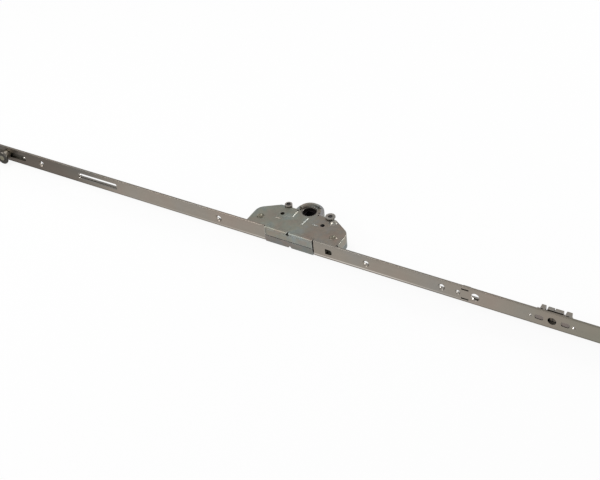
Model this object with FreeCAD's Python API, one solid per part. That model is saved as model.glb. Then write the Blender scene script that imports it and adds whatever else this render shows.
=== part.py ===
import FreeCAD, Part
import math
import os

# A window espagnolette: a long faceplate in two lengths, a gearbox between them and a drive rod behind.
# Millimetres. Origin on the spindle axis, halfway through the faceplate's width.
# +X runs along the faceplate, its front face looks towards -Y, and the handle goes on from +Z.

V = FreeCAD.Vector
X_AXIS = V(1, 0, 0)
Y_AXIS = V(0, 1, 0)
Z_AXIS = V(0, 0, 1)

# Faceplate
backset = 35.5
plate_width = 16.0
plate_thick = 2.0
plate_front_round = 0.4
plate_back_round = 0.3
plate_corner_round = 2.5
rail_left = -362.0
rail_right = 378.0
plate_front = -backset
plate_back = plate_front + plate_thick
plate_half = plate_width / 2

# Middle front section of the gearbox, between the two faceplates
front_left = -25.5
front_right = 22.8
front_stand = 0.5
front_top = 7.6
front_top_round = 1.0
front_ramp = 2.5
front_drop = 8.7
front_slope = 0.5
left_joint_gap = 0.4
right_joint_gap = 1.2
tongue_length = 6.0
tongue_thick = 0.8
tongue_half = 3.5
tongue_clear = 0.1

# Drive rod
rod_width = 10.0
rod_thick = 2.0
rod_gap = 0.15
rod_slot_half = 2.7
long_slot_margin = 1.5
window_margin = 2.0
rod_joint_gap = 0.3
rod_edge_round = 0.3
rod_end_beyond_cam = 13.1
rod_half = rod_width / 2
rod_front = plate_back + rod_gap
rod_back = rod_front + rod_thick

# Toothed drive: one quarter turn of the follower moves the rod by four teeth
tooth_pitch = 4.5
follower_teeth = 16
pressure_angle = math.radians(20)
follower_addendum = 0.7
rack_addendum = 1.0
root_clear = 0.25
tooth_backlash = 0.16
rack_teeth = 10
pitch_radius = follower_teeth * tooth_pitch / (2 * math.pi)
rod_travel = follower_teeth * tooth_pitch / 4
gear_thick = 6.0
spindle_square = 7.0
spindle_clear = 0.1
journal_radius = 6.0
journal_clear = 0.06
journal_up = 0.8
journal_down = 3.4

# Rack slider
slider_half_thick = 3.0
rack_bar_half = 22.5
rack_bar_front = -17.0
stem_half = 14.0
slider_rivet_x = (-10.5, -4.5, 4.5, 10.5)
slider_rivet_radius = 1.25
slider_rivet_depth = 4.0

# Gearbox casing
case_half_length = 46.0
case_rear = -0.8
case_shoulder_x = 28.0
case_corner_y = -12.6
case_corner_round = 10.0
case_shoulder_round = 3.0
case_top = 6.8
case_bottom = -7.0
case_split = -1.3
case_wall = 1.5
case_skin = 1.6
case_edge_round = 0.6
lug_wall = 1.0
gear_clear = 0.14
gear_space = pitch_radius + follower_addendum + gear_clear
lug_radius = gear_space + lug_wall
bush_outer = 7.2
bush_seat_clear = 0.03
bush_chamfer = 0.5
bush_hold_radius = 9.2
slide_clear = 0.15
guide_rib_y = (-16.6, -14.4)
channel_clear = 0.3

# Low land round the hub's lug, sloping gently outwards
land_step = 0.2
land_fall = math.radians(6)
land_reach = 16.0

# Raised collar round the far side of the spindle hole
collar_inner = 7.6
collar_inner_top = 8.4
collar_inner_shift = 0.7
collar_outer = 10.4
collar_height = 2.4
collar_round = 0.5
collar_from = 56.0
collar_to = 177.0

# Screw sleeves for the handle
sleeve_spacing = 43.0
sleeve_radius = 3.5
sleeve_core_radius = 2.1
sleeve_stand = 1.6
fluted_collar_radius = 4.6
fluted_collar_base = 0.45
sleeve_flange_radius = 4.5
sleeve_flange = 1.4
sleeve_flutes = 16
sleeve_flute_radius = 0.4
sleeve_clear = 0.05
sleeve_lobe_radius = 5.3

# Holes and rivets in the casing
access_hole_x = 20.5
access_hole_y = -12.5
access_hole_radius = 2.1
rivet_x = 37.0
rivet_y = -23.2
rivet_radius = 2.0
rivet_head_radius = 3.5
rivet_head_height = 0.35
rivet_head_bevel = 0.4
rivet_dimple_radius = 2.2
rivet_dimple_bottom = 0.8
rivet_dimple_depth = 0.8
dome_x = 27.0
dome_y = -5.4
dome_radius = 3.6
dome_height = 1.4
rivet_clear = 0.05
column_wall = 1.6

# Shallow relief on the casing's broad face
relief_height = 0.5
relief_left_height = 0.35
relief_rise = 0.55
relief_bevel = 0.5
relief_outline = ((-9.3, -4.3), (-9.3, -12.9), (-15.0, -14.9), (-18.9, -19.6), (-24.0, -19.6), (-24.0, -3.0))
relief_rib = ((2.9, -18.9), (3.8, -9.1))
relief_rib_width = 1.4
relief_arc_centre = (14.9, -7.4)
relief_arc_radius = 7.4
relief_arc_angles = (248.0, 288.0)

# Small dimples beside the hub and a notch at the casing's right end
dimple_places = ((9.2, 1.5), (10.2, -1.6), (-8.9, -0.8), (-10.4, -2.6), (6.9, 8.2))
dimple_radius = 0.8
dimple_depth = 0.9
end_notch_y = (-33.0, -30.6)
end_notch = 1.2
end_notch_depth = 2.2

# Locating notches in the upper and lower edge of the middle front section
front_hole_x = -1.8
front_hole_z = 6.1
front_hole_radius = 1.7
front_hole_depth = 2.4
front_notch_x = -0.6
front_notch_half = 1.6
front_notch_height = 2.1

# Shallow panel sunk into the upper half of the middle front section, with a groove along its top,
# and the groove in the lower half beside the parting line
panel_margin = 0.9
panel_top = 5.7
panel_depth = 0.3
panel_groove = 0.5
panel_groove_depth = 0.9
split_groove = 0.4

# Holes in the faceplate: fixing screws, slots, cam slots
screw_x = (-284.6, -75.2, 74.8, 144.8, 300.0)
screw_radius = 2.2
screw_sink_radius = 3.4
long_slot = (-237.8, -191.3)
long_slot_half = 3.25
long_slot_corner = 1.0
window_x = (35.3, 41.9)
window_half = 2.75
window_corner = 2.4
small_hole_x = 159.3
small_hole_radius = 1.6
small_sink_radius = 2.4
large_hole_x = 174.7
large_hole_radius = 3.6
large_sink = 0.25
pin_hole_radius = 1.5

# Mushroom cams on the drive rod
cam_x = (-329.0, 345.0)
cam_slot_half = 3.25
cam_slot_end_clear = 3.3
stud_radius = 2.9
stud_fit = 0.02
stud_head_radius = 4.4
stud_head = 1.2
stud_shoulder = 0.4
stud_journal = 2.0
stud_end_radius = 2.9
stud_end = 0.6
cam_bore_clear = 0.06
cam_lift = 0.5
cam_roller_radius = 4.5
cam_head_radius = 7.0
cam_head_thick = 2.2
cam_head_round = 0.8
cam_reach = 8.5
cam_recess_radius = 3.3
cam_recess = 0.8
cam_mark_radius = 0.6
cam_mark_at = 5.0

# Rod guide clip: a bent strip whose two legs stand in slits of the faceplate
clip_x = (162.6, 168.9)
clip_thick = 1.3
clip_leg_inner = 4.3
clip_fit = 0.1
clip_recess = 1.1
clip_bend = 0.3
rod_notch_half = 4.1

# A plain hole in the left rod, seen through the end of the cam slot
rod_hole_x = -307.4
rod_hole_radius = 2.4

# Rod guide housing behind the keeper hole, staked to the faceplate by two oval tenons.
# Its places along X are given from the keeper screw.
keeper_x = 239.8
pin_hole_from_keeper = (-17.9, 18.0)
tenon_from_keeper = (-10.7, 10.9)
tenon_half_length = 2.9
tenon_half = 1.6
tenon_head_extra = 0.35
tenon_head = 0.9
tenon_sunk = 0.4
tenon_fit = 0.05
tenon_groove = 0.3
tenon_corner = 1.6
housing_from_keeper = (-14.6, 14.8)
housing_half = 4.4
housing_foot = 2.0
housing_depth = 3.7
posts_from_keeper = ((-11.4, -7.5), (9.2, 13.8))
post_flares = (0.3, 1.4)
post_half = 7.5
post_gap = 1.2
post_gap_from = 5.3
post_gap_margins = (0.6, 1.0)
post_round = 0.7
blocks_from_keeper = ((-5.9, -0.5), (0.2, 7.0))
block_half = 7.0
block_front = 0.2
block_round = 0.5
web_half = 3.4
bridge_half = 6.2
bridge_back = 0.8
keeper_hole_radius = 3.6
keeper_shank = 2.0
keeper_fit = 0.05
keeper_head_radius = 2.55
keeper_head = 2.1
keeper_slot_width = 0.9
keeper_slot_depth = 0.9

pin_hole_x = tuple(keeper_x + d for d in pin_hole_from_keeper)
tenon_x = tuple(keeper_x + d for d in tenon_from_keeper)
housing_x = tuple(keeper_x + d for d in housing_from_keeper)
post_x = tuple((keeper_x + a, keeper_x + b) for a, b in posts_from_keeper)
block_x = tuple((keeper_x + a, keeper_x + b) for a, b in blocks_from_keeper)


def box(x, y, z):
    """A block given by its low and high X, Y and Z."""
    return Part.makeBox(x[1] - x[0], y[1] - y[0], z[1] - z[0], V(x[0], y[0], z[0]))


def upright(x, y, radius, z0, z1):
    return Part.makeCylinder(radius, z1 - z0, V(x, y, z0), Z_AXIS)


def level(x, z, radius, y0, y1):
    return Part.makeCylinder(radius, y1 - y0, V(x, y0, z), Y_AXIS)


def level_cone(x, z, front_radius, back_radius, y0, y1):
    return Part.makeCone(front_radius, back_radius, y1 - y0, V(x, y0, z), Y_AXIS)


def join(shapes):
    return shapes[0].fuse(shapes[1:]).removeSplitter()


def carve(shape, tools):
    return shape.cut(tools)


def prism(points, z0, z1):
    """An upright block over a closed outline of (x, y) points."""
    corners = [V(x, y, z0) for x, y in points]
    wire = Part.makePolygon(corners + corners[:1])
    return Part.Face(wire).extrude(V(0, 0, z1 - z0))


def round_ended(x, half, y0, y1):
    """A slot's space: round ends, from x[0] to x[1], through the plate's thickness."""
    ends = [level(x[0] + half, 0, half, y0, y1), level(x[1] - half, 0, half, y0, y1)]
    return join([box((x[0] + half, x[1] - half), (y0, y1), (-half, half))] + ends)


def edges_along(shape, direction):
    """The straight edges of a shape that run along a direction."""
    straight = [e for e in shape.Edges if isinstance(e.Curve, Part.Line)]
    return [e for e in straight if abs(abs(e.tangentAt(e.FirstParameter).dot(direction)) - 1) < 1e-6]


def strip(x0, x1, y0, y1, half, edge_round):
    """A flat bar along X with rounded long edges."""
    bar = box((x0, x1), (y0, y1), (-half, half))
    return bar.makeFillet(edge_round, edges_along(bar, X_AXIS))


def moving_slot(x, half_length):
    """The slot that the rod needs to pass a fixed thing of this half length through its travel."""
    reach = half_length + rod_travel + slide_clear
    return (x - reach, x + reach)


def screw_hole(x):
    sink = screw_sink_radius - screw_radius
    return join([level(x, 0, screw_radius, plate_front - 1, plate_back + 1),
                 level_cone(x, 0, screw_sink_radius, screw_radius, plate_front, plate_front + sink),
                 level(x, 0, screw_sink_radius, plate_front - 1, plate_front)])


def cam_slot(x):
    reach = stud_radius + rod_travel + cam_slot_end_clear
    return round_ended((x - reach, x + reach), cam_slot_half, plate_front - 1, plate_back + 1)


def tongue_space(x0, x1, clear):
    """The tongue by which a faceplate enters the gearbox's front section."""
    half = tongue_half + clear
    return box((x0, x1), (plate_back - tongue_thick - clear, plate_back), (-half, half))


def plate_blank(x0, x1, x_end):
    """A length of faceplate with round corners at its outer end and rolled front edges."""
    plate = box((x0, x1), (plate_front, plate_back), (-plate_half, plate_half))
    corners = [e for e in edges_along(plate, Y_AXIS) if abs(e.CenterOfMass.x - x_end) < 0.01]
    plate = plate.makeFillet(plate_corner_round, corners)
    for y, edge_round in ((plate_front, plate_front_round), (plate_back, plate_back_round)):
        edges = [e for e in edges_along(plate, X_AXIS) if abs(e.CenterOfMass.y - y) < 0.01]
        plate = plate.makeFillet(edge_round, edges)
    return plate


def faceplate_left():
    inner = front_left - left_joint_gap
    plate = plate_blank(rail_left, inner, rail_left)
    slot = box(long_slot, (plate_front - 1, plate_back + 1), (-long_slot_half, long_slot_half))
    slot = slot.makeFillet(long_slot_corner, edges_along(slot, Y_AXIS))
    holes = [screw_hole(x) for x in screw_x if x < 0]
    plate = carve(plate, holes + [cam_slot(cam_x[0]), slot])
    return join([plate, tongue_space(inner, front_left + tongue_length, 0)])


def window_space():
    """A window with its two right-hand corners round, so that it is D-shaped."""
    space = box(window_x, (plate_front - 1, plate_back + 1), (-window_half, window_half))
    right = [e for e in edges_along(space, Y_AXIS) if e.CenterOfMass.x > window_x[1] - 0.01]
    return space.makeFillet(window_corner, right)


def small_hole():
    sink = small_sink_radius - small_hole_radius
    bevel = level_cone(small_hole_x, 0, small_sink_radius, small_hole_radius, plate_front, plate_front + sink)
    return join([level(small_hole_x, 0, small_hole_radius, plate_front - 1, plate_back + 1), bevel])


def large_hole():
    wide = large_hole_radius + large_sink
    bevel = level_cone(large_hole_x, 0, wide, large_hole_radius, plate_front, plate_front + large_sink)
    return join([level(large_hole_x, 0, large_hole_radius, plate_front - 1, plate_back + 1), bevel])


def tenon_head_shape(x, spread, y0, y1):
    """A block with round corners: a staked head, or its recess, spread beyond the tenon's neck."""
    long_half = tenon_half_length + spread
    half = tenon_half + spread
    head = box((x - long_half, x + long_half), (y0, y1), (-half, half))
    return head.makeFillet(tenon_corner, edges_along(head, Y_AXIS))


def tenon_hole(x):
    """A stepped hole: the neck behind, the staked head's recess in front."""
    half_length = tenon_half_length + tenon_fit
    half = tenon_half + tenon_fit
    neck = round_ended((x - half_length, x + half_length), half, plate_front - 1, plate_back + 1)
    spread = tenon_head_extra + tenon_groove
    return join([neck, tenon_head_shape(x, spread, plate_front - 1, plate_front + tenon_head)])


def clip_slits():
    inner = clip_leg_inner - clip_fit
    outer = clip_leg_inner + clip_thick + clip_fit
    x = (clip_x[0] - clip_fit, clip_x[1] + clip_fit)
    y = (plate_front - 1, plate_back + 1)
    return [box(x, y, (inner, outer)), box(x, y, (-outer, -inner))]


def faceplate_right():
    inner = front_right + right_joint_gap
    plate = plate_blank(inner, rail_right, rail_right)
    holes = [screw_hole(x) for x in screw_x if x > 0]
    holes += [level(x, 0, pin_hole_radius, plate_front - 1, plate_back + 1) for x in pin_hole_x]
    holes += [tenon_hole(x) for x in tenon_x]
    holes += clip_slits()
    holes += [window_space(), small_hole(), large_hole(), cam_slot(cam_x[1])]
    holes.append(level(keeper_x, 0, keeper_hole_radius, plate_front - 1, plate_back + 1))
    plate = carve(plate, holes)
    return join([plate, tongue_space(front_right - tongue_length, inner, 0)])


def rod_blank(x0, x1):
    return strip(x0, x1, rod_front, rod_back, rod_half, rod_edge_round)


def rod_slot(x):
    return round_ended(x, rod_slot_half, rod_front - 1, rod_back + 1)


def slider_rivet_holes(side):
    places = [x for x in slider_rivet_x if x * side > 0]
    return [level(x, 0, slider_rivet_radius + rivet_clear, rod_front - 1, rod_back + 1) for x in places]


def stud_hole(x):
    return level(x, 0, stud_radius + stud_fit, rod_front - 1, rod_back + 1)


def drive_rod_left():
    rod = rod_blank(cam_x[0] - rod_end_beyond_cam, -rod_joint_gap / 2)
    slots = [moving_slot(x, screw_radius) for x in screw_x if x < 0]
    slots.append((long_slot[0] - long_slot_margin, long_slot[1] + long_slot_margin))
    tools = [rod_slot(x) for x in slots] + slider_rivet_holes(-1) + [stud_hole(cam_x[0])]
    tools.append(level(rod_hole_x, 0, rod_hole_radius, rod_front - 1, rod_back + 1))
    return carve(rod, tools)


def drive_rod_right():
    rod = rod_blank(rod_joint_gap / 2, cam_x[1] + rod_end_beyond_cam)
    first = moving_slot(screw_x[2], screw_radius)
    second = moving_slot(screw_x[3], screw_radius)
    large = moving_slot(large_hole_x, large_hole_radius)
    left_tenon = moving_slot(tenon_x[0], tenon_half_length)
    right_tenon = moving_slot(tenon_x[1], tenon_half_length)
    slots = [(window_x[0] - window_margin, first[1]), (second[0], large[1]), (left_tenon[0], right_tenon[1]),
             moving_slot(screw_x[4], screw_radius)]
    reach = rod_travel + clip_fit + slide_clear
    notch_x = (clip_x[0] - reach, clip_x[1] + reach)
    notch_y = (rod_front - 1, rod_back + 1)
    notches = [box(notch_x, notch_y, (rod_notch_half, rod_half + 1)),
               box(notch_x, notch_y, (-rod_half - 1, -rod_notch_half))]
    tools = [rod_slot(x) for x in slots] + notches + slider_rivet_holes(1) + [stud_hole(cam_x[1])]
    return carve(rod, tools)


def involute(angle):
    return math.tan(angle) - angle


def tooth_half_angle(radius):
    """Half the angle that a follower tooth spans at a radius, from the involute of its base circle."""
    base = pitch_radius * math.cos(pressure_angle)
    at_pitch = (tooth_pitch / 2 - tooth_backlash) / 2 / pitch_radius
    return at_pitch + involute(pressure_angle) - involute(math.acos(base / radius))


def follower_tooth(centre_angle):
    base = pitch_radius * math.cos(pressure_angle) + 0.01
    root = pitch_radius - rack_addendum - root_clear
    tip = pitch_radius + follower_addendum
    radii = [base, (base + pitch_radius) / 2, pitch_radius, tip]
    flank = [(r, tooth_half_angle(r)) for r in radii]
    flank = [(root - 0.5, flank[0][1])] + flank
    side = [(r, centre_angle - a) for r, a in flank] + [(r, centre_angle + a) for r, a in reversed(flank)]
    return prism([(r * math.cos(a), r * math.sin(a)) for r, a in side], -gear_thick / 2, gear_thick / 2)


def follower():
    root = pitch_radius - rack_addendum - root_clear
    half = gear_thick / 2
    teeth = [follower_tooth(2 * math.pi * k / follower_teeth) for k in range(follower_teeth)]
    wheel = join([upright(0, 0, root, -half, half)] + teeth)
    journals = [upright(0, 0, journal_radius, half, half + journal_up),
                upright(0, 0, journal_radius, -half - journal_down, -half)]
    hub = join([wheel] + journals)
    side = (spindle_square + spindle_clear) / 2
    return carve(hub, [box((-side, side), (-side, side), (case_bottom - 1, case_top + 1))])


def rack_tooth(x):
    tip_y = -pitch_radius + rack_addendum
    root_y = -pitch_radius - follower_addendum - root_clear
    half_pitch = (tooth_pitch / 2 - tooth_backlash) / 2
    lean = math.tan(pressure_angle)
    tip = half_pitch - rack_addendum * lean
    root = half_pitch + (follower_addendum + root_clear) * lean
    outline = [(x - root, root_y - 0.5), (x - root, root_y), (x - tip, tip_y), (x + tip, tip_y),
               (x + root, root_y), (x + root, root_y - 0.5)]
    return prism(outline, -slider_half_thick, slider_half_thick)


def rack_slider():
    thick = (-slider_half_thick, slider_half_thick)
    root_y = -pitch_radius - follower_addendum - root_clear
    bar = box((-rack_bar_half, rack_bar_half), (rack_bar_front, root_y), thick)
    stem = box((-stem_half, stem_half), (rod_back, rack_bar_front), thick)
    first = -(rack_teeth - 1) / 2
    teeth = [rack_tooth((first + k) * tooth_pitch) for k in range(rack_teeth)]
    slider = join([bar, stem] + teeth)
    holes = [level(x, 0, slider_rivet_radius + rivet_clear, rod_back - 1, rod_back + slider_rivet_depth)
             for x in slider_rivet_x]
    return carve(slider, holes)


def slider_rivets():
    return Part.makeCompound([level(x, 0, slider_rivet_radius, rod_front, rod_back + slider_rivet_depth)
                              for x in slider_rivet_x])


def case_plan():
    """The gearbox's outline seen along Z, as a flat face at height 0: a body and the round lug at the hub."""
    rear_y = case_rear
    points = [(-case_half_length, plate_back), (case_half_length, plate_back),
              (case_half_length, case_corner_y), (case_shoulder_x, rear_y),
              (-case_shoulder_x, rear_y), (-case_half_length, case_corner_y)]
    body = prism(points, 0, 1)
    corners = [e for e in edges_along(body, Z_AXIS) if abs(e.CenterOfMass.y - case_corner_y) < 0.01]
    body = body.makeFillet(case_corner_round, corners)
    rear_edges = [e for e in edges_along(body, Z_AXIS) if abs(e.CenterOfMass.y - rear_y) < 0.01]
    shoulders = [e for e in rear_edges if abs(abs(e.CenterOfMass.x) - case_shoulder_x) < 0.01]
    body = body.makeFillet(case_shoulder_round, shoulders)
    whole = join([body, upright(0, 0, lug_radius, 0, 1)])
    return [f for f in whole.Faces if abs(f.CenterOfMass.z) < 1e-6][0]


def plan_solid(face, z0, z1):
    return face.translated(V(0, 0, z0)).extrude(V(0, 0, z1 - z0))


def cavity(z0, z1):
    """The hollow inside the walls, with the wider round space that the follower's teeth need."""
    inner = case_plan().makeOffset2D(-case_wall)
    return join([plan_solid(inner.Faces[0], z0, z1), upright(0, 0, gear_space, z0, z1)])


def sleeve_sides():
    return (-sleeve_spacing / 2, sleeve_spacing / 2)


def rivet_places():
    """Each casing rivet's place and shank radius."""
    return [(-rivet_x, rivet_y), (rivet_x, rivet_y), (dome_x, dome_y)]


def inner_supports(z0, z1, rib_edge):
    """Columns for rivets and sleeves, the ring that holds the bush, and the rib that guides the slider."""
    columns = [upright(x, y, rivet_radius + column_wall, z0, z1) for x, y in rivet_places()]
    columns += [upright(x, 0, sleeve_lobe_radius, z0, z1) for x in sleeve_sides()]
    low, high = (rib_edge, z1) if rib_edge > 0 else (z0, rib_edge)
    ring = upright(0, 0, bush_hold_radius, low, high)
    rib_x = case_half_length - case_wall / 2
    rib = box((-rib_x, rib_x), guide_rib_y, (low, high))
    return columns + [ring, rib]


def passages():
    """Spaces common to both shells: the rod's channel, the slider's window, tongues, rivets and the bush."""
    half = rod_half + channel_clear
    channel_y = (rod_front - rod_gap, rod_back + slide_clear)
    channel = box((-case_half_length - 1, case_half_length + 1), channel_y, (-half, half))
    reach = stem_half + rod_travel + channel_clear
    thick = slider_half_thick + slide_clear
    window_back = rod_back + 2 * case_wall + slide_clear
    window = box((-reach, reach), (rod_back, window_back), (-thick, thick))
    pockets = [tongue_space(front_left - 1, front_left + tongue_length + channel_clear, tongue_clear),
               tongue_space(front_right - tongue_length - channel_clear, front_right + 1, tongue_clear)]
    radius = rivet_radius + rivet_clear
    rivets = [upright(x, y, radius, case_bottom - 1, case_top + 3) for x, y in rivet_places()]
    access = [upright(x, access_hole_y, access_hole_radius, case_bottom - 1, case_top + 3)
              for x in (-access_hole_x, access_hole_x)]
    bush = upright(0, 0, bush_outer + bush_seat_clear, case_bottom - 1, case_top + 3)
    return [channel, window, bush] + pockets + rivets + access


def channel_wall(z0, z1):
    """The wall behind the rod's channel, which the slider's stem passes through its window."""
    return box((-case_half_length + case_wall / 2, case_half_length - case_wall / 2),
               (rod_back + slide_clear, rod_back + slide_clear + case_wall), (z0, z1))


def bevelled(outline, height):
    """A pad on the casing's broad face over a closed outline, its sides leaning in as they rise."""
    corners = [V(x, y, case_top) for x, y in outline]
    foot = Part.makePolygon(corners + corners[:1])
    crown = Part.Face(foot).makeOffset2D(-relief_bevel, 2).OuterWire.translated(V(0, 0, height))
    return Part.makeLoft([foot, crown], True, True)


def casing_relief():
    """A pad beside the hub that fades out to the left and rear, a short rib and a curved rib."""
    left = min(x for x, y in relief_outline)
    right = max(x for x, y in relief_outline)
    front = min(y for x, y in relief_outline)
    back = max(y for x, y in relief_outline)
    highest = relief_left_height + relief_rise
    tilted = [V(left, front, case_top + relief_left_height), V(right, front, case_top + highest),
              V(right, back, case_top + relief_rise), V(left, back, case_top)]
    under = Part.Face(Part.makePolygon(tilted + tilted[:1])).extrude(V(0, 0, -highest))
    pad = bevelled(relief_outline, relief_height).common(under)
    (x0, y0), (x1, y1) = relief_rib
    half = relief_rib_width / 2
    rib = bevelled([(x0 - half, y0), (x0 + half, y0), (x1 + half, y1), (x1 - half, y1)], relief_height)
    sweep = relief_arc_angles[1] - relief_arc_angles[0]
    centre = V(relief_arc_centre[0], relief_arc_centre[1], case_top)
    wide = relief_arc_radius + half
    narrow = relief_arc_radius - half
    outer = Part.makeCone(wide, wide - relief_bevel, relief_height, centre, Z_AXIS, sweep)
    inner = Part.makeCone(narrow, narrow + relief_bevel, relief_height, centre, Z_AXIS, sweep)
    arc = outer.cut(inner)
    arc.rotate(centre, Z_AXIS, relief_arc_angles[0])
    return [pad, rib, arc]


def lug_land():
    """What is cut away round the lug's broad face, outside the collar, so that a low sloping land is left."""
    start = case_top - land_step
    end = start - (land_reach - collar_outer) * math.tan(land_fall)
    above = case_top + 1
    section = [V(collar_outer, 0, above), V(collar_outer, 0, start), V(land_reach, 0, end),
               V(land_reach, 0, above)]
    face = Part.Face(Part.makePolygon(section + section[:1]))
    beyond_body = box((-land_reach, land_reach), (case_rear, land_reach), (end, above))
    return face.revolve(V(0, 0, 0), Z_AXIS, 360).common(beyond_body)


def casing_collar():
    centre = V(0, 0, case_top)
    outer = Part.makeCylinder(collar_outer, collar_height, centre, Z_AXIS, collar_to - collar_from)
    outer.rotate(centre, Z_AXIS, collar_from)
    inner_centre = centre + V(collar_inner_shift, 0, 0)
    ring = outer.cut(Part.makeCone(collar_inner, collar_inner_top, collar_height, inner_centre, Z_AXIS))
    arcs = [e for e in ring.Edges if isinstance(e.Curve, Part.Circle)]
    arcs = [e for e in arcs if abs(e.Curve.Radius - collar_outer) < 0.01]
    rim = [e for e in arcs if e.CenterOfMass.z > case_top + collar_height / 2]
    return ring.makeFillet(collar_round, rim)


def upper_front():
    """The upper half of the section between the faceplates; a ramp behind it runs down to the broad face."""
    front_y = plate_front - front_stand
    ramp_end = plate_back + front_ramp
    profile = [(front_y, case_split), (front_y, front_top), (plate_back, front_top), (ramp_end, case_top),
               (ramp_end, case_split)]
    corners = [V(front_left, y, z) for y, z in profile]
    block = Part.Face(Part.makePolygon(corners + corners[:1])).extrude(V(front_right - front_left, 0, 0))
    rim = [e for e in edges_along(block, X_AXIS)
           if abs(e.CenterOfMass.y - front_y) < 0.01 and abs(e.CenterOfMass.z - front_top) < 0.01]
    return block.makeFillet(front_top_round, rim)


def lower_front():
    """The lower half of that section, its front leaning back towards its lower edge."""
    front_y = plate_front - front_stand
    profile = [(front_y, case_split), (front_y + front_slope, -front_drop), (plate_back, -front_drop),
               (plate_back, case_split)]
    corners = [V(front_left, y, z) for y, z in profile]
    return Part.Face(Part.makePolygon(corners + corners[:1])).extrude(V(front_right - front_left, 0, 0))


def casing_rim(body):
    """The edges round the casing's broad face, but for the one along the faceplate."""
    boxes = [(e, e.BoundBox) for e in body.Edges]
    at_top = [e for e, b in boxes if abs(b.ZMin - case_top) < 1e-6 and abs(b.ZMax - case_top) < 1e-6]
    return [e for e in at_top if e.CenterOfMass.y > plate_back + 0.01]


def front_panel():
    """The sunk panel and the groove along its top."""
    x = (front_left + panel_margin, front_right - panel_margin)
    floor_y = plate_front - front_stand + panel_depth
    ahead_y = plate_front - front_stand - 1
    panel = box(x, (ahead_y, floor_y), (case_split - 1, panel_top))
    groove = box(x, (ahead_y, floor_y + panel_groove_depth), (panel_top - panel_groove, panel_top))
    return [panel, groove]


def split_groove_space():
    front_y = plate_front - front_stand
    return box((front_left - 1, front_right + 1), (front_y - 1, front_y + panel_depth + split_groove),
               (case_split - split_groove, case_split + 1))


def casing_upper():
    body = plan_solid(case_plan(), case_split, case_top)
    outer = join([body.makeFillet(case_edge_round, casing_rim(body)), upper_front()])
    ceiling = case_top - case_skin
    shell = carve(outer, [cavity(case_split - 1, ceiling)])
    inside = join(inner_supports(case_split, ceiling, slider_half_thick + slide_clear))
    inside = inside.common(plan_solid(case_plan(), case_split, ceiling))
    shell = carve(shell, [lug_land()])
    shell = join([shell, inside, channel_wall(case_split, ceiling), casing_collar()] + casing_relief())
    sleeve_way = sleeve_radius + channel_clear
    recesses = [upright(x, 0, sleeve_way, case_split - 1, case_top + 1) for x in sleeve_sides()]
    dimple_floor = case_top - dimple_depth
    recesses += [upright(x, y, dimple_radius, dimple_floor, case_top + 1) for x, y in dimple_places]
    recesses.append(box((case_half_length - end_notch, case_half_length + 1), end_notch_y,
                        (case_top - end_notch_depth, case_top + 1)))
    hole = level(front_hole_x, front_hole_z, front_hole_radius, plate_front - front_stand - 1,
                 plate_front - front_stand + front_hole_depth)
    return carve(shell, passages() + recesses + [hole] + front_panel())


def front_notch():
    """A V-shaped notch in the lower edge of the middle front section."""
    front_y = plate_front - front_stand
    corners = [V(front_notch_x - front_notch_half, front_y, -front_drop),
               V(front_notch_x, front_y, front_notch_height - front_drop),
               V(front_notch_x + front_notch_half, front_y, -front_drop)]
    face = Part.Face(Part.makePolygon(corners + corners[:1]))
    return face.extrude(V(0, plate_back - front_y, 0))


def casing_lower():
    outer = plan_solid(case_plan(), case_bottom, case_split)
    lobes = [upright(x, 0, sleeve_lobe_radius, case_bottom, case_split) for x in sleeve_sides()]
    outer = join([outer, lower_front()] + lobes)
    floor = case_bottom + case_skin
    shell = carve(outer, [cavity(floor, case_split + 1)])
    inside = join(inner_supports(floor, case_split, -slider_half_thick - slide_clear))
    inside = inside.common(outer)
    shell = join([shell, inside, channel_wall(floor, case_split)])
    shank = sleeve_radius + sleeve_clear
    flange = sleeve_flange_radius + sleeve_clear
    sleeves = [upright(x, 0, shank, case_bottom - 1, case_split + 1) for x in sleeve_sides()]
    sleeves += [upright(x, 0, flange, case_bottom - 1, case_bottom + sleeve_flange) for x in sleeve_sides()]
    return carve(shell, passages() + sleeves + [front_notch(), split_groove_space()])


def bush(z0, z1, outer_z, inner_z):
    """A plain bush; the rim of its bore is bevelled on the outer side."""
    bore = journal_radius + journal_clear
    inward = Z_AXIS if inner_z > outer_z else -Z_AXIS
    bevel = Part.makeCone(bore + bush_chamfer, bore, bush_chamfer, V(0, 0, outer_z), inward)
    return carve(upright(0, 0, bush_outer, z0, z1), [upright(0, 0, bore, z0 - 1, z1 + 1), bevel])


def screw_sleeve(x):
    top = case_top + sleeve_stand
    body = join([upright(x, 0, sleeve_radius, case_bottom, top),
                 upright(x, 0, sleeve_flange_radius, case_bottom, case_bottom + sleeve_flange)])
    return carve(body, [upright(x, 0, sleeve_core_radius, case_bottom - 1, top + 1)])


def fluted_sleeve(x):
    """A sleeve with a wider, fluted collar above the casing."""
    top = case_top + sleeve_stand
    base = case_top + fluted_collar_base
    collar = upright(x, 0, fluted_collar_radius, base, top)
    grooves = []
    for k in range(sleeve_flutes):
        angle = 2 * math.pi * k / sleeve_flutes
        place = (x + fluted_collar_radius * math.cos(angle), fluted_collar_radius * math.sin(angle))
        grooves.append(upright(place[0], place[1], sleeve_flute_radius, base - 1, top + 1))
    bore = upright(x, 0, sleeve_core_radius, case_bottom - 1, top + 1)
    return carve(join([screw_sleeve(x), collar]), grooves + [bore])


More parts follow.
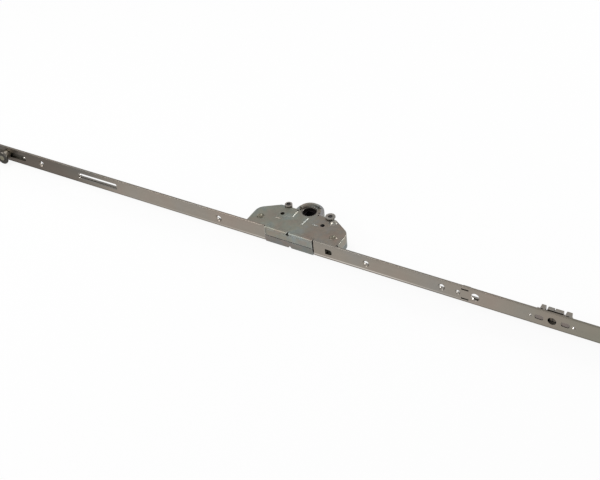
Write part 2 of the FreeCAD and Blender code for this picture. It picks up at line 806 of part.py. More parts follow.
def casing_rivets():
    rivets = []
    for x in (-rivet_x, rivet_x):
        shank = upright(x, rivet_y, rivet_radius, case_bottom, case_top + rivet_head_height)
        head = Part.makeCone(rivet_head_radius, rivet_head_radius - rivet_head_bevel, rivet_head_height,
                             V(x, rivet_y, case_top), Z_AXIS)
        base = V(x, rivet_y, case_top + rivet_head_height - rivet_dimple_depth)
        dimple = Part.makeCone(rivet_dimple_bottom, rivet_dimple_radius, rivet_dimple_depth, base, Z_AXIS)
        rivets.append(join([shank, head]).cut(dimple))
    return Part.makeCompound(rivets)


def domed_rivet():
    shank = upright(dome_x, dome_y, rivet_radius, case_bottom, case_top)
    ball_radius = (dome_radius ** 2 + dome_height ** 2) / (2 * dome_height)
    ball = Part.makeSphere(ball_radius, V(dome_x, dome_y, case_top + dome_height - ball_radius))
    cap = ball.common(upright(dome_x, dome_y, dome_radius, case_top, case_top + dome_height))
    return join([shank, cap])


def cam_stud(x):
    """Riveted through the rod: back head, shank in the cam slot, journal and peened end for the cam."""
    shoulder = plate_front - stud_shoulder
    end = plate_front - cam_reach
    seat = end + cam_recess
    return join([level(x, 0, stud_head_radius, rod_back, rod_back + stud_head),
                 level(x, 0, stud_radius, shoulder, rod_back),
                 level(x, 0, stud_journal, seat - stud_end / 2, shoulder),
                 level(x, 0, stud_end_radius, seat - stud_end - 0.1, seat - 0.1)])


def cam_mushroom(x):
    """A roller with a wide head, free to turn on its stud."""
    back = plate_front - cam_lift
    front = plate_front - cam_reach
    head_back = front + cam_head_thick
    head = level(x, 0, cam_head_radius, front, head_back)
    head = head.makeFillet(cam_head_round, [e for e in head.Edges if isinstance(e.Curve, Part.Circle)])
    body = join([level(x, 0, cam_roller_radius, head_back - 0.5, back), head])
    bore = level(x, 0, stud_journal + cam_bore_clear, front - 1, back + 1)
    recess = level(x, 0, cam_recess_radius, front - 1, front + cam_recess)
    mark = level(x + cam_mark_at, 0, cam_mark_radius, front - 1, front + 0.5)
    return carve(body, [bore, recess, mark])


def rod_guide_clip():
    outer = clip_leg_inner + clip_thick
    back_face = rod_back + slide_clear
    back = box(clip_x, (back_face, back_face + clip_thick), (-outer, outer))
    legs = [box(clip_x, (plate_front + clip_recess, back_face), (side * clip_leg_inner, side * outer)[::side])
            for side in (1, -1)]
    clip = join([back] + legs)
    inner_bends = [e for e in edges_along(clip, X_AXIS)
                   if abs(e.CenterOfMass.y - back_face) < 0.01 and abs(e.CenterOfMass.z) < outer - 0.01]
    clip = clip.makeFillet(clip_bend, inner_bends)
    far_y = back_face + clip_thick
    outer_bends = [e for e in edges_along(clip, X_AXIS) if abs(e.CenterOfMass.y - far_y) < 0.01]
    return clip.makeFillet(clip_bend + clip_thick, outer_bends)


def tenon(x):
    neck = round_ended((x - tenon_half_length, x + tenon_half_length), tenon_half,
                       plate_front + tenon_sunk, rod_back + slide_clear)
    head = tenon_head_shape(x, tenon_head_extra, plate_front + tenon_sunk, plate_front + tenon_head)
    return join([neck, head])


def housing_post(x, flare, back):
    """A post beside the rod, wider where it meets the faceplate, with its window for the rod."""
    outline = [(x[0], plate_back), (x[1] + flare, plate_back), (x[1], back), (x[0], back)]
    post = prism(outline, -post_half, post_half)
    back_edges = [e for e in edges_along(post, Z_AXIS) if e.CenterOfMass.y > back - 0.01]
    post = post.makeFillet(post_round, back_edges)
    across = (x[0] - 1, x[1] + flare + 1)
    half = rod_half + slide_clear
    window = box(across, (plate_back - 1, rod_back + slide_clear), (-half, half))
    gap_x = (x[0] + post_gap_margins[0], x[1] - post_gap_margins[1])
    gap = box(gap_x, (plate_back - 1, plate_back + post_gap), (post_gap_from, post_half + 1))
    return carve(post, [window, gap])


def housing_block(x, front, back):
    block = box(x, (front, back), (-block_half, block_half))
    back_edges = [e for e in edges_along(block, Z_AXIS) if e.CenterOfMass.y > back - 0.01]
    return block.makeFillet(block_round, back_edges)


def guide_housing():
    front = rod_back + slide_clear
    back = front + housing_depth
    foot = box(housing_x, (front, front + housing_foot), (-housing_half, housing_half))
    web = box((block_x[1][0], post_x[1][1]), (front, back), (-web_half, web_half))
    bridge_x = (block_x[0][1] - block_round, block_x[1][0] + block_round)
    bridge = box(bridge_x, (front + block_front, back - bridge_back), (-bridge_half, bridge_half))
    posts = [housing_post(x, flare, back) for x, flare in zip(post_x, post_flares)]
    blocks = [housing_block(x, front + block_front, back) for x in block_x]
    housing = join([foot, web, bridge] + posts + blocks + [tenon(x) for x in tenon_x])
    hole = level(keeper_x, 0, keeper_shank + keeper_fit, front - 1, back + 1)
    return carve(housing, [hole])


def keeper_screw():
    seat = rod_back + slide_clear
    front = seat - keeper_head
    head = level(keeper_x, 0, keeper_head_radius, front, seat)
    shank = level(keeper_x, 0, keeper_shank, seat, seat + housing_depth)
    half = keeper_slot_width / 2
    across = (-keeper_head_radius - 1, keeper_head_radius + 1)
    slot = box((keeper_x - half, keeper_x + half), (front - 1, front + keeper_slot_depth), across)
    return join([head, shank]).cut(slot)


def build():
    half = gear_thick / 2 + slide_clear
    return {
        "faceplate_left": faceplate_left(),
        "faceplate_right": faceplate_right(),
        "drive_rod_left": drive_rod_left(),
        "drive_rod_right": drive_rod_right(),
        "rack_slider": rack_slider(),
        "slider_rivets": slider_rivets(),
        "follower": follower(),
        "follower_bush_upper": bush(half, case_top, case_top, half),
        "follower_bush_lower": bush(case_bottom, -half, case_bottom, -half),
        "casing_upper": casing_upper(),
        "casing_lower": casing_lower(),
        "casing_rivets": casing_rivets(),
        "casing_domed_rivet": domed_rivet(),
        "screw_sleeve_left": screw_sleeve(-sleeve_spacing / 2),
        "screw_sleeve_right": fluted_sleeve(sleeve_spacing / 2),
        "cam_stud_left": cam_stud(cam_x[0]),
        "cam_stud_right": cam_stud(cam_x[1]),
        "cam_mushroom_left": cam_mushroom(cam_x[0]),
        "cam_mushroom_right": cam_mushroom(cam_x[1]),
        "rod_guide_clip": rod_guide_clip(),
        "guide_housing": guide_housing(),
        "keeper_screw": keeper_screw(),
    }


os.makedirs("parts", exist_ok=True)
for name, shape in build().items():
    shape.exportStep("parts/" + name + ".step")
    box_ = shape.BoundBox
    print("%-22s %s solids %d volume %.1f  x %.1f %.1f  y %.1f %.1f  z %.1f %.1f" % (
        name, "valid" if shape.isValid() else "INVALID", len(shape.Solids), shape.Volume,
        box_.XMin, box_.XMax, box_.YMin, box_.YMax, box_.ZMin, box_.ZMax))
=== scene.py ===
import math

import bmesh
import bpy
from mathutils import Matrix, Vector

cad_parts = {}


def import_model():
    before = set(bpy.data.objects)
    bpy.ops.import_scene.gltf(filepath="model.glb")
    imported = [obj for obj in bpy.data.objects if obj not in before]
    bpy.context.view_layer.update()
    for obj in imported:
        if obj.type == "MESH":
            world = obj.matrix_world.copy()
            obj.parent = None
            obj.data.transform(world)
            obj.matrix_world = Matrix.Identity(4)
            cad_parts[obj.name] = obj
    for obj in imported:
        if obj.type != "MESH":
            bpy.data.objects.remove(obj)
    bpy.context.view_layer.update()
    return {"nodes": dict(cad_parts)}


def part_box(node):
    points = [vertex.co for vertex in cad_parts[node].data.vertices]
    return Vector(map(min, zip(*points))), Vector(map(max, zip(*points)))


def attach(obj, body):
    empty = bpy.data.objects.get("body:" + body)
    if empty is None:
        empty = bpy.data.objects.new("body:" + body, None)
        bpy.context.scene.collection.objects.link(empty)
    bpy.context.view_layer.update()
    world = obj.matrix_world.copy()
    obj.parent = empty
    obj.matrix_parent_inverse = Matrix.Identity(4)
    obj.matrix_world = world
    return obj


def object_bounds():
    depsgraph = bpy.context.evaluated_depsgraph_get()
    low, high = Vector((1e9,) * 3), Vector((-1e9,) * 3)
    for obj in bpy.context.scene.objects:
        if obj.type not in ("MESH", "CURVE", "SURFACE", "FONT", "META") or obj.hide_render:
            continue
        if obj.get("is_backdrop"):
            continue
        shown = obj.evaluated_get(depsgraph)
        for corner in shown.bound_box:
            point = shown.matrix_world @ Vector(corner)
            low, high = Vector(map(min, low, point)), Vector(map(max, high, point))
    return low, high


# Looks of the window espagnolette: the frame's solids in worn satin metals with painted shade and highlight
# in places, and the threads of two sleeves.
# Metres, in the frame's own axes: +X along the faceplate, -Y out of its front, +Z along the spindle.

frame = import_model()

# Linear colours of the metals; the marked ones hold painted shade, painted sheen and a painted highlight
PLATE = (0.310, 0.276, 0.243)
ROD = (0.205, 0.188, 0.165)
CASTING = (0.300, 0.288, 0.254)
# Darker than the upper casing: partly its own browner tone, partly painted shade of its front, which leans
# down
CASTING_LOWER = (0.225, 0.204, 0.190)
# Painted sheen on the low land round the lug: lighter than the casing, and cooler in tone
LAND_SHEEN = (0.330, 0.335, 0.330)
HOUSING = (0.330, 0.300, 0.272)
RIVET = (0.300, 0.288, 0.245)
DOMED = (0.420, 0.400, 0.360)
# Painted shade: the bushes made near black, deep in the hub hole
BUSH = (0.110, 0.104, 0.094)
SLEEVE = (0.330, 0.312, 0.290)
# Painted shade: the threads made dark, down in the sleeves' bores
THREAD = (0.085, 0.078, 0.074)
# Painted shade: the keeper screw made dark, down in its hole
KEEPER = (0.150, 0.125, 0.105)
CAM = (0.150, 0.142, 0.130)
# Painted shade: the follower made near black, deep in the hub hole
DARK = (0.022, 0.020, 0.022)
CUT_EDGE = (0.340, 0.320, 0.292)
# Painted highlight along the faceplate's rolled lower edge
ROLLED_EDGE_HIGHLIGHT = (0.600, 0.560, 0.510)

# Factors of a metal's own colour: how the zinc plating drifts in hue, and no change at all
WARM = (1.08, 0.97, 0.91)
COOL = (0.93, 1.01, 1.04)
OLIVE = (1.00, 1.00, 0.94)
PLAIN = (1.0, 1.0, 1.0)

# Directions of the grain, as how much the noise is squeezed along X, Y and Z
ALONG_PLATE = (6.0, 300.0, 300.0)
ALONG_CLIP = (300.0, 20.0, 300.0)
CAST_GRAIN = (60.0, 60.0, 60.0)
PEENED_GRAIN = (200.0, 200.0, 200.0)
NO_STRETCH = (1.0, 1.0, 1.0)

# The metals' fine patterns: noise scales per metre, and depths and reaches in metres
CLOUD_SCALE = 110.0
GRIT_SCALE = 1500.0
TURNED_SCALE = 500.0
RELIEF_DEPTH = 0.0002
RING_DEPTH = 0.00005
SHADE_REACH = 0.0025

# How much roughness drifts to both sides, and how much less rough the walls of punched holes are
GLOSS_LOW = 0.07
GLOSS_HIGH = 0.09
CUT_GLOSS = 0.20

# Samples for worn edges and for the painted shade in corners
RAY_SAMPLES = 6

# Part of the normal along Y below which a face is the wall of a punched hole, and along Z above which it
# faces up
SIDEWAYS = 0.3
UPWARD = 0.9

# How far to both sides of 0 colour ramps reach: along Z, along X on the gearbox, along Y on housing and cams
HEIGHT_REACH = 0.010
GEARBOX_REACH = 0.05
HOUSING_REACH = 0.040
CAM_REACH = 0.045

# The right one of the two flush rivets, and the radius of their heads
RIVET_PLACE = (0.0370, -0.0232, 0.0)
RIVET_HEAD_RADIUS = 0.0035

# Thread in the sleeves of the two handle screws: root and crest are half widths as shares of the pitch
BORE_RADIUS = 0.0021
THREAD_PITCH = 0.0008
THREAD_DEPTH = 0.00016
THREAD_SUNK = 0.00002
THREAD_ROOT = 0.40
THREAD_CREST = 0.08
THREAD_STEPS = 40

# Floor: its size, its gap below the part, its paint, and the share of its own whiteness in what is seen
# of it straight and in mirrors
FLOOR_RADIUS = 4.0
FLOOR_SIDES = 96
FLOOR_GAP = 0.0002
FLOOR_GREY = 0.86
FLOOR_ROUGH = 0.9
FLOOR_SEEN = 0.90
FLOOR_MIRRORED = 0.95

# The sky's strength as a light, and how grey floor and sky are where the part mirrors them
SKY_LIGHT = 0.55
FLOOR_LEFT = 0.36
SKY_LEFT = 0.35
SKY_HIGH = 0.68
SKY_TOP = 0.60

# Camera: focal length in pixels of the image, and the image's width
FOCAL = 1154.2
IMAGE_WIDTH = 600


def node(tree, kind, **values):
    """A shader node with its settings and the fixed values of its sockets."""
    made = tree.nodes.new(kind)
    for name, value in values.items():
        if hasattr(made, name):
            setattr(made, name, value)
        else:
            made.inputs[name.replace("_", " ")].default_value = value
    return made


def components(tree, kind, output):
    """The X, Y and Z sockets of a vector that a node of this kind puts out."""
    parts = node(tree, "ShaderNodeSeparateXYZ")
    tree.links.new(node(tree, kind).outputs[output], parts.inputs["Vector"])
    return parts.outputs


def ramp(tree, fac, stops):
    """A colour ramp from (position, grey value or colour) stops."""
    made = tree.nodes.new("ShaderNodeValToRGB")
    for k, (position, value) in enumerate(stops):
        stop = made.color_ramp.elements[k] if k < 2 else made.color_ramp.elements.new(position)
        stop.position = position
        colour = value if isinstance(value, tuple) else (value, value, value)
        stop.color = (*colour, 1)
    tree.links.new(fac, made.inputs["Fac"])
    return made.outputs["Color"]


def stretched_noise(tree, stretch, scale, detail=4.0, rough=0.6):
    """Noise over the part's own axes, drawn out by a stretch along each."""
    where = node(tree, "ShaderNodeTexCoord")
    mapping = node(tree, "ShaderNodeMapping", Scale=stretch)
    tree.links.new(where.outputs["Object"], mapping.inputs["Vector"])
    noise = node(tree, "ShaderNodeTexNoise", Scale=scale, Detail=detail, Roughness=rough)
    tree.links.new(mapping.outputs["Vector"], noise.inputs["Vector"])
    return noise.outputs["Fac"]


def math_node(tree, operation, *values):
    """A Math node on one or two inputs, each a socket or a number."""
    made = node(tree, "ShaderNodeMath", operation=operation)
    for socket, value in zip(made.inputs, values):
        if isinstance(value, (int, float)):
            socket.default_value = value
        else:
            tree.links.new(value, socket)
    return made.outputs["Value"]


def multiply(tree, a, b):
    """The product of two colours."""
    made = node(tree, "ShaderNodeMix", data_type="RGBA", blend_type="MULTIPLY")
    made.inputs["Factor"].default_value = 1.0
    tree.links.new(a, made.inputs["A"])
    tree.links.new(b, made.inputs["B"])
    return made.outputs["Result"]


def blend(tree, fac, a, b):
    """Colour a with colour b mixed in by a factor, each a socket or a constant."""
    made = node(tree, "ShaderNodeMix", data_type="RGBA", blend_type="MIX")
    tree.links.new(fac, made.inputs["Factor"])
    for name, value in (("A", a), ("B", b)):
        if isinstance(value, tuple):
            made.inputs[name].default_value = (*value, 1)
        else:
            tree.links.new(value, made.inputs[name])
    return made.outputs["Result"]


def edge_mask(tree, width):
    """1 on edges and 0 on faces, from how far a rounded normal leans from the true one."""
    bevel = node(tree, "ShaderNodeBevel", samples=RAY_SAMPLES, Radius=width)
    true = node(tree, "ShaderNodeNewGeometry")
    dot = node(tree, "ShaderNodeVectorMath", operation="DOT_PRODUCT")
    tree.links.new(bevel.outputs["Normal"], dot.inputs[0])
    tree.links.new(true.outputs["Normal"], dot.inputs[1])
    return ramp(tree, dot.outputs["Value"], [(0.80, 1.0), (0.995, 0.0)])


def patina(tree, base, hue, patch):
    """The metal's colour drifting between warm, olive and cool plating, in patches of about this size."""
    drift = stretched_noise(tree, NO_STRETCH, 1.0 / patch, detail=2.5, rough=0.55)
    tones = [tuple(c * (1 + hue * (f - 1)) for c, f in zip(base, tone)) for tone in (WARM, OLIVE, COOL)]
    return ramp(tree, drift, list(zip((0.34, 0.52, 0.68), tones)))


def punched_mask(tree, reach):
    """1 on the walls of holes punched through a plate along Y, within a reach of its middle line."""
    lean = components(tree, "ShaderNodeNewGeometry", "True Normal")["Y"]
    off_middle = components(tree, "ShaderNodeTexCoord", "Object")["Z"]
    side = math_node(tree, "LESS_THAN", math_node(tree, "ABSOLUTE", lean), SIDEWAYS)
    inside = math_node(tree, "LESS_THAN", math_node(tree, "ABSOLUTE", off_middle), reach)
    return math_node(tree, "MULTIPLY", side, inside)


def upward_mask(tree):
    """1 on faces that face up."""
    normal = components(tree, "ShaderNodeNewGeometry", "True Normal")
    return math_node(tree, "GREATER_THAN", normal["Z"], UPWARD)


def along_axis(tree, coordinate, axis, stops, reach=1.0):
    """A grey or colour that changes along one axis of a texture coordinate, by stops within a reach of 0."""
    shift = node(tree, "ShaderNodeMapRange", From_Min=-reach, From_Max=reach, To_Min=0.0, To_Max=1.0)
    tree.links.new(components(tree, "ShaderNodeTexCoord", coordinate)[axis], shift.inputs["Value"])
    return ramp(tree, shift.outputs["Result"], [((at / reach + 1) / 2, value) for at, value in stops])


def painted_edge_highlight(tree):
    """A painted highlight: a bright line where the faceplate's front turns into its rolled lower edge,
    fading to both sides.
    """
    stops = [(-0.0068, 0.0), (-0.0064, 1.0), (-0.0058, 1.0), (-0.0053, 0.0)]
    line = along_axis(tree, "Object", "Z", stops, HEIGHT_REACH)
    stops = [(-0.20, 0.0), (-0.06, 0.35), (-0.03, 0.7), (0.03, 0.8), (0.06, 1.0), (0.10, 0.9), (0.13, 0.4),
             (0.19, 0.0)]
    return multiply(tree, line, along_axis(tree, "Object", "X", stops))


def plate_painted_shade(tree):
    """Painted shade: the faceplate's rolled margins a little darker than its flat front, and its right end
    darker.
    """
    stops = [(-0.0070, 0.70), (-0.0065, 1.0), (0.0072, 1.0), (0.0078, 0.88)]
    margins = along_axis(tree, "Object", "Z", stops, HEIGHT_REACH)
    stops = [(0.195, PLAIN), (0.27, (0.84, 0.89, 0.86))]
    return multiply(tree, margins, along_axis(tree, "Object", "X", stops))


def land_mask(tree):
    """1 on the low land round the lug, which faces up a little below the casing's broad face."""
    stops = [(0.0060, 0.0), (0.0061, 1.0), (0.0066, 1.0), (0.0067, 0.0)]
    height = along_axis(tree, "Object", "Z", stops, HEIGHT_REACH)
    return math_node(tree, "MULTIPLY", upward_mask(tree), height)


def casing_drift(tree):
    """The upper casing's plating: browner to the right on its broad face, cooler there on its front."""
    height = along_axis(tree, "Object", "Z", [(0.0078, 1.0), (0.0080, 0.0)], HEIGHT_REACH)
    broad = math_node(tree, "MULTIPLY", upward_mask(tree), height)
    stops = [(0.000, (0.88, 0.93, 0.94)), (0.016, (0.89, 0.81, 0.82))]
    top = along_axis(tree, "Object", "X", stops, GEARBOX_REACH)
    cool = (0.98, 1.04, 1.11)
    stops = [(-0.004, PLAIN), (0.005, cool), (0.022, cool), (0.024, PLAIN)]
    return blend(tree, broad, along_axis(tree, "Object", "X", stops, GEARBOX_REACH), top)


def lower_drift(tree):
    """The lower casing's plating, cooler to the right."""
    stops = [(-0.003, (1.03, 1.05, 1.08)), (0.003, (0.99, 1.11, 1.16))]
    return along_axis(tree, "Object", "X", stops, GEARBOX_REACH)


def staked_painted_shade(tree):
    """Painted shade on the housing's staked heads, darker than the rest where they stand in the faceplate.
    """
    stops = [(-0.0342, (0.78, 0.74, 0.76)), (-0.0338, PLAIN)]
    return along_axis(tree, "Object", "Y", stops, HOUSING_REACH)


def cam_painted_highlight(tree):
    """A painted highlight on the cams' rollers, which are made brighter than their heads."""
    stops = [(-0.0419, PLAIN), (-0.0415, (2.6, 2.6, 2.5))]
    return along_axis(tree, "Object", "Y", stops, CAM_REACH)


def rivet_rim(tree):
    """1 on the rims of the two flush rivets, which stand equally far left and right, and everywhere further
    out.
    """
    parts = components(tree, "ShaderNodeTexCoord", "Object")
    place = node(tree, "ShaderNodeCombineXYZ")
    tree.links.new(math_node(tree, "ABSOLUTE", parts["X"]), place.inputs["X"])
    tree.links.new(parts["Y"], place.inputs["Y"])
    away = node(tree, "ShaderNodeVectorMath", operation="DISTANCE")
    away.inputs[1].default_value = RIVET_PLACE
    tree.links.new(place.outputs["Vector"], away.inputs[0])
    share = math_node(tree, "DIVIDE", away.outputs["Value"], 2 * RIVET_HEAD_RADIUS)
    return ramp(tree, share, [(0.36, 0.0), (0.40, 1.0)])


def rivet_rim_tone_and_highlight(tree):
    """The left rivet's rim darker, with a painted highlight at its far left that also brightens this steel
    further left, and the right one's a little darker.
    """
    rim_dark = (0.50, 0.49, 0.45)
    # Painted highlight
    bright = (1.90, 1.85, 1.70)
    dull = (0.84, 0.78, 0.76)
    flat = (0.92, 0.89, 0.84)
    stops = [(-0.0400, bright), (-0.0393, rim_dark), (-0.0330, rim_dark), (0.0, dull)]
    return blend(tree, rivet_rim(tree), flat, along_axis(tree, "Object", "X", stops, GEARBOX_REACH))


def metal(name, base, rough, grain, grain_scale, hue=0.6, patch=0.03, blotch=0.06, edge=0.30,
          edge_width=0.00035, bump=0.05, shade_depth=0.35, shade_span=(0.20, 0.75), pits=0.0, punched=0.0,
          masks=(), tone_and_painted_light=None):
    """Satin plated metal: drawn-out grain, drifting hue, lighter worn edges and painted shade in inner
    corners.
    """
    material = bpy.data.materials.new(name)
    material.use_nodes = True
    tree = material.node_tree
    shader = tree.nodes["Principled BSDF"]
    shader.inputs["Metallic"].default_value = 1.0
    links = tree.links

    fine = stretched_noise(tree, grain, grain_scale, detail=6.0, rough=0.7)
    soft = stretched_noise(tree, NO_STRETCH, CLOUD_SCALE, detail=3.0, rough=0.5)
    cloud = ramp(tree, soft, [(0.30, 1 - 2 * blotch), (0.70, 1.0)])
    streak = ramp(tree, fine, [(0.25, 0.90), (0.75, 1.0)])
    colour = multiply(tree, multiply(tree, patina(tree, base, hue, patch), cloud), streak)
    # Painted shade: darker where ambient occlusion finds inner corners and hollows
    shade = node(tree, "ShaderNodeAmbientOcclusion", samples=RAY_SAMPLES, Distance=SHADE_REACH)
    corner_shade = ramp(tree, shade.outputs["AO"], [(shade_span[0], 1 - shade_depth), (shade_span[1], 1.0)])
    colour = multiply(tree, colour, corner_shade)

    # Masked colours: a painted highlight on the faceplate's rolled edge and painted sheen on the casing's
    # low land
    for mask, other in masks:
        colour = blend(tree, mask(tree), colour, other)
    patchy = ramp(tree, soft, [(0.35, 0.60), (0.65, 1.0)])
    worn = math_node(tree, "MULTIPLY", edge_mask(tree, edge_width), patchy)
    colour = blend(tree, worn, colour, tuple(min(1.0, c + edge * (1 - c)) for c in base))
    # Tone along the part, and on some metals painted shade and painted highlight
    if tone_and_painted_light:
        colour = multiply(tree, colour, tone_and_painted_light(tree))

    gloss = node(tree, "ShaderNodeMapRange", To_Min=rough - GLOSS_LOW, To_Max=rough + GLOSS_HIGH)
    links.new(fine, gloss.inputs["Value"])
    gloss = gloss.outputs["Result"]
    if punched:
        cut = punched_mask(tree, punched)
        colour = blend(tree, cut, colour, CUT_EDGE)
        gloss = math_node(tree, "SUBTRACT", gloss, math_node(tree, "MULTIPLY", cut, CUT_GLOSS))
    links.new(colour, shader.inputs["Base Color"])
    links.new(gloss, shader.inputs["Roughness"])

    height = fine
    if pits:
        grit = stretched_noise(tree, NO_STRETCH, GRIT_SCALE, detail=2.0, rough=0.5)
        height = math_node(tree, "ADD", fine, math_node(tree, "MULTIPLY", grit, pits))
    relief = node(tree, "ShaderNodeBump", Strength=bump, Distance=RELIEF_DEPTH)
    links.new(height, relief.inputs["Height"])
    links.new(relief.outputs["Normal"], shader.inputs["Normal"])
    return material


def turned(name, base, rough, centre, axis, pitch, edge=0.35, tone_and_painted_light=None):
    """Turned steel: fine rings about an axis (X, Y or Z by number) through a centre."""
    material = metal(name, base, rough, NO_STRETCH, TURNED_SCALE, edge=edge, bump=0.03, tone_and_painted_light=tone_and_painted_light)
    tree = material.node_tree
    shader = tree.nodes["Principled BSDF"]
    where = node(tree, "ShaderNodeTexCoord")
    shift = node(tree, "ShaderNodeVectorMath", operation="SUBTRACT")
    shift.inputs[1].default_value = centre
    flat = node(tree, "ShaderNodeVectorMath", operation="MULTIPLY")
    flat.inputs[1].default_value = tuple(0.0 if k == axis else 1.0 for k in range(3))
    size = node(tree, "ShaderNodeVectorMath", operation="LENGTH")
    tree.links.new(where.outputs["Object"], shift.inputs[0])
    tree.links.new(shift.outputs["Vector"], flat.inputs[0])
    tree.links.new(flat.outputs["Vector"], size.inputs[0])
    wave = math_node(tree, "SINE", math_node(tree, "MULTIPLY", size.outputs["Value"], 2 * math.pi / pitch))
    relief = node(tree, "ShaderNodeBump", Strength=0.12, Distance=RING_DEPTH)
    tree.links.new(wave, relief.inputs["Height"])
    tree.links.new(shader.inputs["Normal"].links[0].from_socket, relief.inputs["Normal"])
    tree.links.new(relief.outputs["Normal"], shader.inputs["Normal"])
    return material


def dress(names, material):
    """One material on each of these nodes, in the place of what the frame gives them."""
    for name in names:
        data = frame["nodes"][name].data
        data.materials.clear()
        data.materials.append(material)


def middle(name):
    """The middle of a node's box."""
    low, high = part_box(name)
    return tuple((a + b) / 2 for a, b in zip(low, high))


plate = metal("rolled_zinc_plated_steel", PLATE, 0.38, ALONG_PLATE, 1.0, patch=0.05, blotch=0.02, edge=0.14,
              bump=0.05, punched=0.0066, masks=[(painted_edge_highlight, ROLLED_EDGE_HIGHLIGHT)], tone_and_painted_light=plate_painted_shade)
rod = metal("sliding_rod_steel", ROD, 0.42, ALONG_PLATE, 1.6, blotch=0.05, bump=0.08, shade_depth=0.6,
            punched=0.0045)
casting = metal("zinc_die_casting", CASTING, 0.44, CAST_GRAIN, 6.0, hue=1.0, patch=0.010, blotch=0.07,
                edge=0.45, edge_width=0.0005, bump=0.10, shade_depth=0.60, pits=0.9, masks=[(land_mask, LAND_SHEEN)],
                tone_and_painted_light=casing_drift)
lower = metal("zinc_die_casting_lower", CASTING_LOWER, 0.46, CAST_GRAIN, 6.0, hue=1.2, patch=0.012,
              blotch=0.07, edge=0.25, edge_width=0.0005, bump=0.10, shade_depth=0.3, pits=0.9, tone_and_painted_light=lower_drift)
housing = metal("zinc_die_casting_housing", HOUSING, 0.42, CAST_GRAIN, 6.0, patch=0.012, blotch=0.10,
                edge=0.30, edge_width=0.0006, bump=0.12, shade_depth=0.55, shade_span=(0.45, 0.97), pits=0.9,
                tone_and_painted_light=staked_painted_shade)
rivet = metal("peened_rivet_steel", RIVET, 0.34, PEENED_GRAIN, 3.0, patch=0.004, blotch=0.10, bump=0.25,
              shade_depth=0.7, edge=0.12, tone_and_painted_light=rivet_rim_tone_and_highlight)
domed = metal("domed_rivet_steel", DOMED, 0.26, PEENED_GRAIN, 3.0, patch=0.002, blotch=0.25, bump=0.35,
              shade_depth=0.7)
keeper = metal("keeper_screw_steel", KEEPER, 0.30, PEENED_GRAIN, 2.0, bump=0.06)
clip = metal("bent_strip_steel", ROD, 0.42, ALONG_CLIP, 1.0, blotch=0.05)
threads = metal("thread_steel", THREAD, 0.30, PEENED_GRAIN, 3.0, bump=0.05)
dress(["faceplate_left", "faceplate_right"], plate)
dress(["drive_rod_left", "drive_rod_right", "rack_slider"], rod)
dress(["casing_upper"], casting)
dress(["guide_housing"], housing)
dress(["casing_lower"], lower)
dress(["casing_rivets", "slider_rivets", "cam_stud_left", "cam_stud_right"], rivet)
dress(["casing_domed_rivet"], domed)
dress(["keeper_screw"], keeper)
dress(["rod_guide_clip"], clip)
dress(["follower"], turned("follower_steel", DARK, 0.40, (0.0, 0.0, 0.0), 2, 0.0004, edge=0.03))
bushes = ["follower_bush_upper", "follower_bush_lower"]
dress(bushes, turned("bush_steel", BUSH, 0.44, (0.0, 0.0, 0.0), 2, 0.0003, edge=0.10))
for side in ("left", "right"):
    sleeve = "screw_sleeve_" + side
    dress([sleeve], turned("turned_" + sleeve, SLEEVE, 0.32, middle(sleeve), 2, 0.0003))
    cam = "cam_mushroom_" + side
    dress([cam], turned("turned_" + cam, CAM, 0.30, middle(cam), 1, 0.0005, edge=0.12, tone_and_painted_light=cam_painted_highlight))


def thread(name, sleeve):
    """The thread in a screw sleeve: a helical ridge on its bore's wall, tapered in its end quarter turns."""
    x = middle(sleeve)[0]
    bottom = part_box(sleeve)[0][2]
    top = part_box(sleeve)[1][2]
    turns = (top - bottom - 2 * THREAD_PITCH) / THREAD_PITCH
    count = int(turns * THREAD_STEPS)
    profile = ((THREAD_SUNK, -THREAD_ROOT), (-THREAD_DEPTH, -THREAD_CREST), (-THREAD_DEPTH, THREAD_CREST),
               (THREAD_SUNK, THREAD_ROOT))
    mesh = bmesh.new()
    rows = []
    for k in range(count + 1):
        angle = 2 * math.pi * k / THREAD_STEPS
        z = bottom + THREAD_PITCH + THREAD_PITCH * k / THREAD_STEPS
        taper = min(1.0, 4.0 * k / THREAD_STEPS, 4.0 * (count - k) / THREAD_STEPS)
        row = []
        for inward, rise in profile:
            r = BORE_RADIUS + (inward * taper if inward < 0 else inward)
            place = (x + r * math.cos(angle), r * math.sin(angle), z + rise * THREAD_PITCH)
            row.append(mesh.verts.new(place))
        rows.append(row)
    for a, b in zip(rows, rows[1:]):
        for k in range(len(profile)):
            m = (k + 1) % len(profile)
            mesh.faces.new((a[k], b[k], b[m], a[m]))
    mesh.faces.new(rows[0])
    mesh.faces.new(list(reversed(rows[-1])))
    bmesh.ops.recalc_face_normals(mesh, faces=mesh.faces)
    data = bpy.data.meshes.new(name)
    mesh.to_mesh(data)
    mesh.free()
    piece = bpy.data.objects.new(name, data)
    bpy.context.scene.collection.objects.link(piece)
    data.materials.append(threads)
    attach(piece, "frame")


thread("sleeve_thread_left", "screw_sleeve_left")
thread("sleeve_thread_right", "screw_sleeve_right")


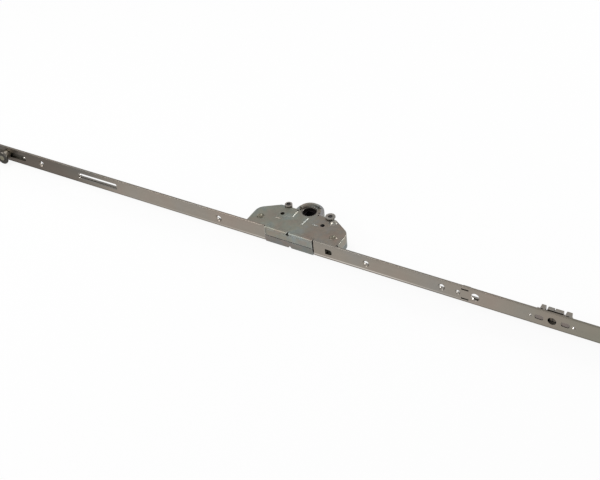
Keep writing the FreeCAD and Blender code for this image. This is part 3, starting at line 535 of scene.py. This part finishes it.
def camera():
    """The photograph's viewpoint: bearing, height and roll of the view, and the shift of its centre."""
    bearing, height, roll = (math.radians(a) for a in (34.148, 39.125, -6.129))
    aside, above, distance = 9.995, 22.428, 1.0322
    flat = math.cos(height)
    back = Vector((math.sin(bearing) * flat, -math.cos(bearing) * flat, math.sin(height)))
    level = Vector((math.cos(bearing), math.sin(bearing), 0))
    rise = back.cross(level)
    right = math.cos(roll) * level + math.sin(roll) * rise
    up = -math.sin(roll) * level + math.cos(roll) * rise
    place = back * distance - right * (aside * distance / FOCAL) - up * (above * distance / FOCAL)
    data = bpy.data.cameras.new("camera")
    data.lens = FOCAL / IMAGE_WIDTH * data.sensor_width
    data.clip_start = 0.01
    made = bpy.data.objects.new("camera", data)
    turn = Matrix((right, up, back)).transposed().to_4x4()
    made.matrix_world = Matrix.Translation(place) @ turn
    bpy.context.scene.collection.objects.link(made)
    bpy.context.scene.camera = made


def light_path(tree):
    """Factors for rays from the camera, and for rays off a glossy face or through glass."""
    path = node(tree, "ShaderNodeLightPath")
    mirrored = math_node(tree, "MAXIMUM", path.outputs["Is Glossy Ray"], path.outputs["Is Transmission Ray"])
    return path.outputs["Is Camera Ray"], mirrored


def floor():
    """A pale round floor that shows white with a soft shadow, and falls off to the left in mirrors."""
    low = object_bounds()[0][2]
    mesh = bmesh.new()
    bmesh.ops.create_circle(mesh, cap_ends=True, radius=FLOOR_RADIUS, segments=FLOOR_SIDES)
    data = bpy.data.meshes.new("floor")
    mesh.to_mesh(data)
    mesh.free()
    made = bpy.data.objects.new("floor", data)
    made.location = (0, 0, low - FLOOR_GAP)
    bpy.context.scene.collection.objects.link(made)
    material = bpy.data.materials.new("pale_floor")
    material.use_nodes = True
    tree = material.node_tree
    shader = tree.nodes["Principled BSDF"]
    shader.inputs["Base Color"].default_value = (FLOOR_GREY, FLOOR_GREY, FLOOR_GREY, 1)
    shader.inputs["Roughness"].default_value = FLOOR_ROUGH
    seen, mirrored = light_path(tree)
    glow = node(tree, "ShaderNodeEmission", Strength=1.0)
    fall_off = along_axis(tree, "Object", "X", [(-0.31, FLOOR_LEFT), (-0.245, 0.5), (-0.19, 1.0)])
    tree.links.new(blend(tree, seen, fall_off, PLAIN), glow.inputs["Color"])
    share = math_node(tree, "ADD", math_node(tree, "MULTIPLY", seen, FLOOR_SEEN),
                      math_node(tree, "MULTIPLY", mirrored, FLOOR_MIRRORED))
    mix = node(tree, "ShaderNodeMixShader")
    tree.links.new(share, mix.inputs["Fac"])
    tree.links.new(shader.outputs["BSDF"], mix.inputs[1])
    tree.links.new(glow.outputs["Emission"], mix.inputs[2])
    tree.links.new(mix.outputs["Shader"], tree.nodes["Material Output"].inputs["Surface"])
    data.materials.append(material)
    made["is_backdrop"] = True


def world():
    """White to the camera, greyer overhead and to the left in mirrors, soft as a light."""
    made = bpy.data.worlds.new("studio")
    bpy.context.scene.world = made
    made.use_nodes = True
    tree = made.node_tree
    ground = tree.nodes["Background"]
    ground.inputs["Color"].default_value = (1, 1, 1, 1)
    ground.inputs["Strength"].default_value = SKY_LIGHT
    seen, mirrored = light_path(tree)
    overhead = along_axis(tree, "Generated", "Z", [(0.25, 1.0), (0.60, SKY_HIGH), (1.0, SKY_TOP)])
    leftward = along_axis(tree, "Generated", "X", [(-0.75, SKY_LEFT), (-0.45, 1.0)])
    white = node(tree, "ShaderNodeBackground", Strength=1.0)
    tree.links.new(blend(tree, seen, multiply(tree, overhead, leftward), PLAIN), white.inputs["Color"])
    mix = node(tree, "ShaderNodeMixShader")
    tree.links.new(math_node(tree, "MAXIMUM", seen, mirrored), mix.inputs["Fac"])
    tree.links.new(ground.outputs["Background"], mix.inputs[1])
    tree.links.new(white.outputs["Background"], mix.inputs[2])
    tree.links.new(mix.outputs["Shader"], tree.nodes["World Output"].inputs["Surface"])


def softbox(name, place, aim, size, power):
    """A rectangular lamp at a place, aimed at a point, with its two sides and its power in watts."""
    data = bpy.data.lights.new(name, "AREA")
    data.shape = "RECTANGLE"
    data.size, data.size_y = size
    data.energy = power
    made = bpy.data.objects.new(name, data)
    made.location = place
    made.rotation_euler = (Vector(aim) - Vector(place)).to_track_quat("-Z", "Y").to_euler()
    bpy.context.scene.collection.objects.link(made)


camera()
floor()
world()
softbox("key_light", (-0.49, 0.06, 1.09), (0.0, 0.0, 0.0), (0.6, 0.5), 5.0)
softbox("front_light", (-0.60, -0.68, 0.64), (0.0, 0.0, 0.0), (0.3, 0.3), 2.0)
softbox("rim_light", (0.85, 0.88, 0.50), (0.05, 0.0, 0.0), (0.5, 0.4), 6.0)
bpy.context.scene.view_settings.view_transform = "Standard"
